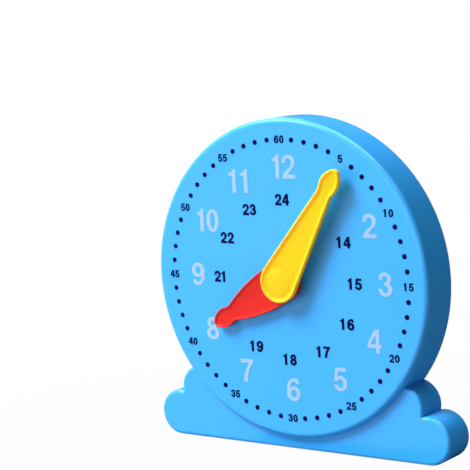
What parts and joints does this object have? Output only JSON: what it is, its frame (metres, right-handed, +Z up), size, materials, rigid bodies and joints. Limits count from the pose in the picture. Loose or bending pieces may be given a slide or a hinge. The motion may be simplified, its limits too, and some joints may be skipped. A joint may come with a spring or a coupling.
{
  "type": "teaching clock",
  "caption": "Small classroom teaching clock: blue moulded dial on a cloud-shaped base, geared yellow and red hands, clear gear cover and clear folding stand behind.",
  "frame": {"origin": "middle of the base's flat underside", "axes": "+Z up; the dial faces -Y; +X to the right of someone reading the dial"},
  "size_m": [0.1134, 0.0619, 0.1093],
  "materials": {
    "blue_abs": "glossy moulded ABS, sky blue",
    "pale_ink": "pad-printed ink, pale white",
    "navy_ink": "pad-printed ink, navy",
    "red_abs": "satin moulded ABS, red",
    "yellow_abs": "satin moulded ABS, yellow",
    "natural_acetal": "natural acetal",
    "clear_styrene": "clear moulded styrene",
    "zinc_steel": "zinc-plated steel"
  },
  "bodies": {
    "clock": {"clock_body": "blue_abs", "hour_numerals": "pale_ink", "day_hour_numerals": "navy_ink", "minute_numerals": "navy_ink", "minute_dots": "navy_ink", "gear_cover": "clear_styrene", "cover_screws": "zinc_steel"},
    "minute": {"minute_hand": "yellow_abs", "minute_gear": "yellow_abs"},
    "hour": {"hour_hand": "red_abs", "hour_gear": "red_abs"},
    "idler": {"idler_gear": "natural_acetal"},
    "stand": {"stand_frame": "clear_styrene"}
  },
  "joints": [
    {"name": "minute_turn", "type": "hinge", "parent": "clock", "child": "minute", "pos_m": [0, 0, 0.0568], "axis": [0, 1, 0], "continuous": true},
    {"name": "idler_turn", "type": "hinge", "parent": "clock", "child": "idler", "pos_m": [0, 0, 0.0428], "axis": [0, 1, 0], "continuous": true},
    {"name": "hour_turn", "type": "hinge", "parent": "clock", "child": "hour", "pos_m": [0, 0, 0.0568], "axis": [0, 1, 0], "continuous": true},
    {"name": "stand_fold", "type": "hinge", "parent": "clock", "child": "stand", "pos_m": [0, 0.0009, 0.0478], "axis": [1, 0, 0], "range_deg": [-53.5, 109.6]}
  ],
  "couplings": [
    {"joint": "idler_turn", "follows": "minute_turn", "ratio": -0.33333},
    {"joint": "hour_turn", "follows": "minute_turn", "ratio": 0.083333}
  ]
}
